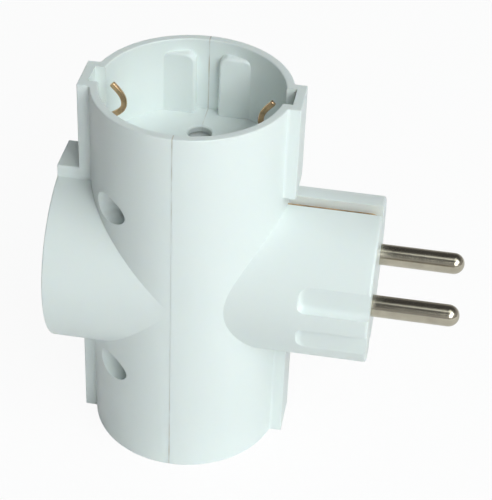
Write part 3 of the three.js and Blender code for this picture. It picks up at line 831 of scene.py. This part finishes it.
class ADAPTER_OT_rivets(bpy.types.Operator):
    """Set the six rivets that hold the contact forks to the busbars"""

    bl_idname = "adapter.rivets"
    bl_label = "Fork Rivets"

    def execute(self, context):
        low, high = node_box("rivet_top_neutral")
        half, head = (high.y - low.y) / 2, (high.x - low.x) / 2
        inner = half - RIVET_RISE
        crown = head * RIVET_CROWN
        top_arc, rim_arc = RIVET_ARCS
        end = [(0, -half, 0), (crown, -half, top_arc), (head, -inner, rim_arc), (RIVET_SHANK, -inner, 0)]
        other = [(radius, -height, arc) for radius, height, arc in reversed(end)]
        profile = rounded(end + other, 3)
        rivet = turned([tuple(point) for point in profile], RIVET_TURN, TO_PLATE)
        places, nodes = [], []
        for name in ("top", "bottom", "side"):
            for pole in ("line", "neutral"):
                node = f"rivet_{name}_{pole}"
                low, high = node_box(node)
                places.append(Matrix.Translation((low + high) / 2 - Vector((TUBE_X, 0, 0))))
                nodes.append(node)
        brass = rolled_brass()
        piece("fork_rivets", placed_copies(rivet, places, brass), brass, "busbars", *nodes)
        return {"FINISHED"}


SCREW_HEAD_RADIUS = 2.7
SCREW_HEAD_HEIGHT = 1.85
# Radius and depth at each step of the head's low dome
SCREW_DOME = ((0, 0), (1.7, 0), (2.35, 0.35), (SCREW_HEAD_RADIUS, 1.0))
SCREW_LENGTH = 14.0
SCREW_CORE = 1.1
SCREW_POINT = 2.0
SLOT_LENGTH_HALF = 1.5
SLOT_WIDTH_HALF = 0.45
SLOT_DEPTH = 1.1
THREAD = {"Turns": 8.0, "Radius": SCREW_CORE, "Length": -9.0, "Depth": 0.33}
SCREW_TURN = 48


class ADAPTER_OT_screws(bpy.types.Operator):
    """Drive the four casing screws, each with a wound thread and a cross slot"""

    bl_idname = "adapter.screws"
    bl_label = "Casing Screws"

    def execute(self, context):
        places, start = screw_places()
        shoulder = start + SCREW_HEAD_HEIGHT
        end = shoulder + SCREW_LENGTH
        point = end - SCREW_POINT
        dome = [(radius, start + depth) for radius, depth in SCREW_DOME]
        shank = [(SCREW_HEAD_RADIUS, shoulder), (SCREW_CORE, shoulder), (SCREW_CORE, point), (0, end)]
        slots = []
        for x, y in ((SLOT_LENGTH_HALF, SLOT_WIDTH_HALF), (SLOT_WIDTH_HALF, SLOT_LENGTH_HALF)):
            slot = block((-x, -y, start - OVERSHOOT), (x, y, start + SLOT_DEPTH), 0)
            slots.append(("DIFFERENCE", slot))
        body = bpy.data.objects.new("blank", worked(turned(dome + shank, SCREW_TURN), *slots))
        bpy.context.scene.collection.objects.link(body)
        body.data.transform(Matrix.Translation((0, 0, -point)))
        zinc = zinc_plate()
        screw = applied(body, thread_tree(), Finish=zinc, **THREAD)
        bpy.data.objects.remove(body)
        screw.transform(Matrix.Translation((0, 0, point)))
        spots = [Matrix.Translation((0, y, z)) @ ALONG_X for y, z in places]
        nodes = [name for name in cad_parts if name.startswith("screw_")]
        piece("casing_screws", placed_copies(screw, spots, zinc), zinc, "screws", *nodes)
        return {"FINISHED"}


class ADAPTER_OT_inner_metal(bpy.types.Operator):
    """Finish the busbars and contact forks, whose CAD shapes stay as they are"""

    bl_idname = "adapter.inner_metal"
    bl_label = "Busbars and Forks"

    def execute(self, context):
        for name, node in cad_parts.items():
            if name.startswith("busbar_"):
                paint(node, rolled_brass())
            if name.startswith("fork_"):
                paint(node, phosphor_bronze())
        return {"FINISHED"}


def paint(node, material):
    if not node.material_slots:
        node.data.materials.append(material)
    for material_slot in node.material_slots:
        material_slot.material = material


# Materials

def add(tree, kind, values=None, links=None, **settings):
    """A node with its settings, its socket values and its links."""
    node = tree.nodes.new(kind)
    for key, value in settings.items():
        setattr(node, key, value)
    for key, value in (values or {}).items():
        node.inputs[key].default_value = value
    for key, source in (links or {}).items():
        tree.links.new(source, node.inputs[key])
    return node


def cleared(holder):
    """The emptied node tree of a material or a world."""
    holder.use_nodes = True
    holder.node_tree.nodes.clear()
    return holder.node_tree


def linear(code):
    """An sRGB hex value as a linear colour."""
    channels = [int(code[i:i + 2], 16) / 255 for i in (1, 3, 5)]
    return tuple(c / 12.92 if c <= 0.04045 else ((c + 0.055) / 1.055) ** 2.4 for c in channels) + (1.0,)


def tone(name):
    return linear(getattr(bpy.context.scene.adapter_finish, name))


def new_material(name, **sockets):
    """A material with one Principled shader, and its object coordinates."""
    material = bpy.data.materials.get(name)
    if material:
        return material, None, None, None
    material = bpy.data.materials.new(name)
    tree = cleared(material)
    place = add(tree, "ShaderNodeTexCoord").outputs["Object"]
    shader = add(tree, "ShaderNodeBsdfPrincipled", sockets)
    add(tree, "ShaderNodeOutputMaterial", links={"Surface": shader.outputs["BSDF"]})
    return material, tree, place, shader


def grain(tree, place, size_mm, detail=2.0):
    """Noise whose features are about the given size."""
    sockets = {"Scale": 1 / (size_mm * MM), "Detail": detail}
    return add(tree, "ShaderNodeTexNoise", sockets, {"Vector": place}).outputs["Fac"]


def span(tree, value, start, end, low=0.0, high=1.0):
    """A value carried from one range to another, held at the ends."""
    sockets = {"From Min": start, "From Max": end, "To Min": low, "To Max": high}
    return add(tree, "ShaderNodeMapRange", sockets, {"Value": value}).outputs["Result"]


def product(tree, first, second):
    return add(tree, "ShaderNodeMath", links={0: first, 1: second}, operation="MULTIPLY").outputs["Value"]


def magnitude(tree, value):
    return add(tree, "ShaderNodeMath", links={0: value}, operation="ABSOLUTE").outputs["Value"]


def blend(tree, amount, first, second):
    """A colour between two, by an amount from 0 to 1."""
    mixed = add(tree, "ShaderNodeMix", {6: first, 7: second}, {"Factor": amount}, data_type="RGBA")
    return mixed.outputs[2]


# Handling dirt in the joint: full up to the first distance from its plane, gone at the second
DIRT_REACH = (0.03, 0.16)
DIRT_DEPTH = 0.85
# It comes and goes in patches, and is worst at the ends of the tube, where fingers hold it
DIRT_PATCH = 7.0
DIRT_PATCH_EDGES = (0.38, 0.6)
DIRT_LEVELS = (18.0, 40.0)
DIRT_AT_MIDDLE = 0.15


def moulded_abs():
    """ABS moulded in a polished tool: even white with a satin gloss and soft edges."""
    finish = {
        "Roughness": 0.34, "IOR": 1.53, "Subsurface Weight": 0.12,
        "Subsurface Radius": (1.0, 0.8, 0.55), "Subsurface Scale": 1.5 * MM,
    }
    material, tree, place, shader = new_material("moulded_white_abs", **finish)
    if tree is None:
        return material
    apart = add(tree, "ShaderNodeSeparateXYZ", links={"Vector": place})
    across = add(tree, "ShaderNodeMath", {1: -TUBE_X * MM}, {0: apart.outputs["X"]}, operation="ADD")
    full, none = DIRT_REACH
    near = span(tree, magnitude(tree, across.outputs["Value"]), full * MM, none * MM, DIRT_DEPTH, 0.0)
    patches = span(tree, grain(tree, place, DIRT_PATCH), *DIRT_PATCH_EDGES)
    low, high = DIRT_LEVELS
    held = span(tree, magnitude(tree, apart.outputs["Z"]), low * MM, high * MM, DIRT_AT_MIDDLE, 1.0)
    dirt = product(tree, near, product(tree, held, patches))
    tree.links.new(blend(tree, dirt, tone("casing"), tone("seam_dirt")), shader.inputs["Base Color"])
    # A fine orange peel of 1.2 mm, and a bevelled normal that stands for the tool's 0.1 mm edges
    eased = add(tree, "ShaderNodeBevel", {"Radius": 0.12 * MM}, samples=6)
    skin = add(tree, "ShaderNodeBump", {"Strength": 0.06, "Distance": 0.05 * MM}, {
        "Height": grain(tree, place, 1.2), "Normal": eased.outputs["Normal"],
    })
    tree.links.new(skin.outputs["Normal"], shader.inputs["Normal"])
    return material


# Where a metal's cloudy tone starts and ends, and how far its roughness varies
CLOUD_EDGES = (0.35, 0.65)
GLOSS_SPREAD = (0.75, 1.35)


def metal(name, colour_name, roughness, grain_mm, bump, stretch=(1, 1, 1), tarnish=0.8, patch_mm=4.0):
    """A metal whose tone and gloss vary a little along its grain."""
    material, tree, place, shader = new_material(name, Metallic=1.0)
    if tree is None:
        return material
    drawn = add(tree, "ShaderNodeMapping", {"Scale": stretch}, {"Vector": place}).outputs["Vector"]
    fine = grain(tree, drawn, grain_mm)
    cloudy = span(tree, grain(tree, place, patch_mm), *CLOUD_EDGES)
    base = tone(colour_name)
    dull = tuple(c * tarnish for c in base[:3]) + (1.0,)
    tree.links.new(blend(tree, cloudy, base, dull), shader.inputs["Base Color"])
    brightest, dullest = GLOSS_SPREAD
    gloss = span(tree, fine, 0.0, 1.0, roughness * brightest, roughness * dullest)
    tree.links.new(gloss, shader.inputs["Roughness"])
    skin = add(tree, "ShaderNodeBump", {"Strength": bump, "Distance": 0.02 * MM}, {"Height": fine})
    tree.links.new(skin.outputs["Normal"], shader.inputs["Normal"])
    return material


def nickel_plate():
    """Bright nickel over turned brass: faint rings from the lathe 0.3 mm apart."""
    return metal(
        "nickel_plated_brass", "nickel", roughness=0.2, grain_mm=0.3, bump=0.3,
        stretch=(1, 0.15, 0.15), tarnish=0.85,
    )


def phosphor_bronze():
    """Sheared and rolled bronze strip, lightly tarnished."""
    return metal(
        "phosphor_bronze_strip", "bronze", roughness=0.22, grain_mm=0.4, bump=0.3,
        tarnish=0.6, patch_mm=2.0,
    )


def rolled_brass():
    """Rolled brass sheet with its grain along the strip."""
    return metal(
        "rolled_brass_sheet", "brass", roughness=0.32, grain_mm=0.4, bump=0.3, stretch=(0.2, 1, 1),
    )


def zinc_plate():
    """Zinc-plated steel, a little cloudy."""
    return metal("zinc_plated_steel", "zinc", roughness=0.34, grain_mm=0.5, bump=0.2)


# Stage

# The camera's place, fitted to the outlines and edges in the picture
CAMERA_AZIMUTH = math.radians(7.975)
CAMERA_ELEVATION = math.radians(36.557)
CAMERA_ROLL = math.radians(2.504)
CAMERA_DISTANCE = 360.43
CAMERA_TARGET = (12.72, 0.0, 3.46)
CAMERA_LENS = 116.77


def make_camera():
    az, el, roll = CAMERA_AZIMUTH, CAMERA_ELEVATION, CAMERA_ROLL
    back = Vector((math.sin(az) * math.cos(el), -math.cos(az) * math.cos(el), math.sin(el)))
    right = Vector((math.cos(az), math.sin(az), 0))
    up = back.cross(right)
    right, up = math.cos(roll) * right + math.sin(roll) * up, math.cos(roll) * up - math.sin(roll) * right
    place = Matrix((right, up, back)).transposed().to_4x4()
    place.translation = PLACE @ (Vector(CAMERA_TARGET) + back * CAMERA_DISTANCE)
    data = bpy.data.cameras.new("camera")
    data.sensor_width = 36
    data.lens = CAMERA_LENS
    data.clip_start = 0.01
    data.clip_end = 10
    camera = bpy.data.objects.new("camera", data)
    camera.matrix_world = place
    bpy.context.scene.collection.objects.link(camera)
    bpy.context.scene.camera = camera


LAMP_DISTANCE = 1.3
LAMP_WIDTH = 0.7
LAMP_COLOUR = (0.94, 1.0, 0.99)

# Name, azimuth, elevation, watts, and whether it shows in reflections
LAMPS = (
    ("key", 32, 30, 8.3, True),
    ("right", 60, 42, 4.8, True),
    ("above", 60, 68, 2.5, True),
    ("back", 180, 40, 1.9, False),
    ("rear", 200, 2, 7.0, False),
)


def make_lamp(name, azimuth, elevation, power, reflected):
    """A square lamp that faces the object; azimuth 0 stands in front and 90 to the right."""
    az, el = math.radians(azimuth), math.radians(elevation)
    away = Vector((math.sin(az) * math.cos(el), -math.cos(az) * math.cos(el), math.sin(el)))
    data = bpy.data.lights.new(name, "AREA")
    data.size = LAMP_WIDTH
    data.color = LAMP_COLOUR
    data.energy = power
    lamp = bpy.data.objects.new(name, data)
    lamp.location = PLACE @ Vector((0, 0, 0)) + away * LAMP_DISTANCE
    lamp.visible_glossy = reflected
    lamp.rotation_mode = "QUATERNION"
    lamp.rotation_quaternion = away.to_track_quat("Z", "Y")
    bpy.context.scene.collection.objects.link(lamp)


# What metal reflects above the horizon: the sine of the elevation and the brightness there
ROOM = ((0.03, 0.08), (0.06, 0.4), (0.3, 0.35), (0.5, 0.1), (1.0, 0.06))


FAINT_LIGHT = 0.04


def studio_room():
    """A faint even light, white to the camera, and to metal a pale wall under a dark ceiling."""
    world = bpy.data.worlds.new("studio")
    tree = cleared(world)
    paths = add(tree, "ShaderNodeLightPath")
    toward = add(tree, "ShaderNodeTexCoord").outputs["Generated"]
    height = add(tree, "ShaderNodeSeparateXYZ", links={"Vector": toward}).outputs["Z"]
    ramp = add(tree, "ShaderNodeValToRGB", links={"Fac": height})
    stops = ramp.color_ramp.elements
    for place, level in ROOM:
        stop = stops[-1] if place == 1 else stops.new(place)
        stop.color = (level, level, level, 1)
    stops.remove(stops[0])
    faint = add(tree, "ShaderNodeBackground", {"Color": (1, 1, 1, 1), "Strength": FAINT_LIGHT})
    room = add(tree, "ShaderNodeBackground", links={"Color": ramp.outputs["Color"]})
    white = add(tree, "ShaderNodeBackground", {"Color": (1, 1, 1, 1)})
    lit = add(tree, "ShaderNodeMixShader", links={
        0: paths.outputs["Is Glossy Ray"], 1: faint.outputs[0], 2: room.outputs[0],
    })
    seen = add(tree, "ShaderNodeMixShader", links={
        0: paths.outputs["Is Camera Ray"], 1: lit.outputs[0], 2: white.outputs[0],
    })
    add(tree, "ShaderNodeOutputWorld", links={"Surface": seen.outputs[0]})
    return world


# How much of the paper is plain white to the camera and in reflections
PAPER_SEEN = 0.93
PAPER_MIRRORED = 0.35


def floor_paper():
    """Matt white paper that stays white to the camera and keeps the shadow."""
    material = bpy.data.materials.new("matt_white_paper")
    tree = cleared(material)
    paths = add(tree, "ShaderNodeLightPath")
    place = add(tree, "ShaderNodeTexCoord").outputs["Object"]
    fibre = add(tree, "ShaderNodeBump", {"Strength": 0.05, "Distance": 0.05 * MM}, {
        "Height": grain(tree, place, 0.8),
    })
    paper = add(tree, "ShaderNodeBsdfDiffuse", {"Color": tone("floor")}, {"Normal": fibre.outputs["Normal"]})
    white = add(tree, "ShaderNodeEmission", {"Color": (1, 1, 1, 1), "Strength": 1.0})
    shares = []
    for path, share in (("Is Camera Ray", PAPER_SEEN), ("Is Glossy Ray", PAPER_MIRRORED)):
        shares.append(add(tree, "ShaderNodeMath", {1: share}, {0: paths.outputs[path]}, operation="MULTIPLY"))
    seen = add(tree, "ShaderNodeMath", operation="MAXIMUM", links={
        0: shares[0].outputs["Value"], 1: shares[1].outputs["Value"],
    })
    both = add(tree, "ShaderNodeMixShader", links={
        0: seen.outputs["Value"], 1: paper.outputs["BSDF"], 2: white.outputs["Emission"],
    })
    add(tree, "ShaderNodeOutputMaterial", links={"Surface": both.outputs["Shader"]})
    return material


def make_floor():
    half = 2.5
    low = SOCKET_LOW.z * MM
    mesh = bpy.data.meshes.new("floor")
    corners = [(-half, -half, low), (half, -half, low), (half, half, low), (-half, half, low)]
    mesh.from_pydata(corners, [], [(0, 1, 2, 3)])
    mesh.materials.append(floor_paper())
    floor = bpy.data.objects.new("floor", mesh)
    bpy.context.scene.collection.objects.link(floor)


class ADAPTER_OT_stage(bpy.types.Operator):
    """Set the camera, the lamps, the sky and a pale floor"""

    bl_idname = "adapter.stage"
    bl_label = "Stage"

    def execute(self, context):
        context.scene.view_settings.view_transform = "Standard"
        context.scene.world = studio_room()
        make_floor()
        for lamp in LAMPS:
            make_lamp(*lamp)
        make_camera()
        return {"FINISHED"}


class ADAPTER_PT_panel(bpy.types.Panel):
    """Sizes, colours and building steps of the adapter"""

    bl_idname = "ADAPTER_PT_panel"
    bl_label = "Mains Adapter"
    bl_space_type = "VIEW_3D"
    bl_region_type = "UI"
    bl_category = "Adapter"

    def draw(self, context):
        for step in STEPS:
            self.layout.operator(step.bl_idname)
        for group in (context.scene.adapter_sizes, context.scene.adapter_finish):
            box = self.layout.box()
            for name in group.__annotations__:
                box.prop(group, name)


STEPS = (
    ADAPTER_OT_stage,
    ADAPTER_OT_casing,
    ADAPTER_OT_pins,
    ADAPTER_OT_earth_frame,
    ADAPTER_OT_inner_metal,
    ADAPTER_OT_rivets,
    ADAPTER_OT_screws,
)
CLASSES = (AdapterSizes, AdapterFinish, *STEPS, ADAPTER_PT_panel)


def register():
    for cls in CLASSES:
        bpy.utils.register_class(cls)
    bpy.types.Scene.adapter_sizes = PointerProperty(type=AdapterSizes)
    bpy.types.Scene.adapter_finish = PointerProperty(type=AdapterFinish)


def unregister():
    del bpy.types.Scene.adapter_finish
    del bpy.types.Scene.adapter_sizes
    for cls in reversed(CLASSES):
        bpy.utils.unregister_class(cls)


def main():
    register()
    for step in STEPS:
        group, name = step.bl_idname.split(".")
        getattr(getattr(bpy.ops, group), name)()


if __name__ == "__main__":
    main()
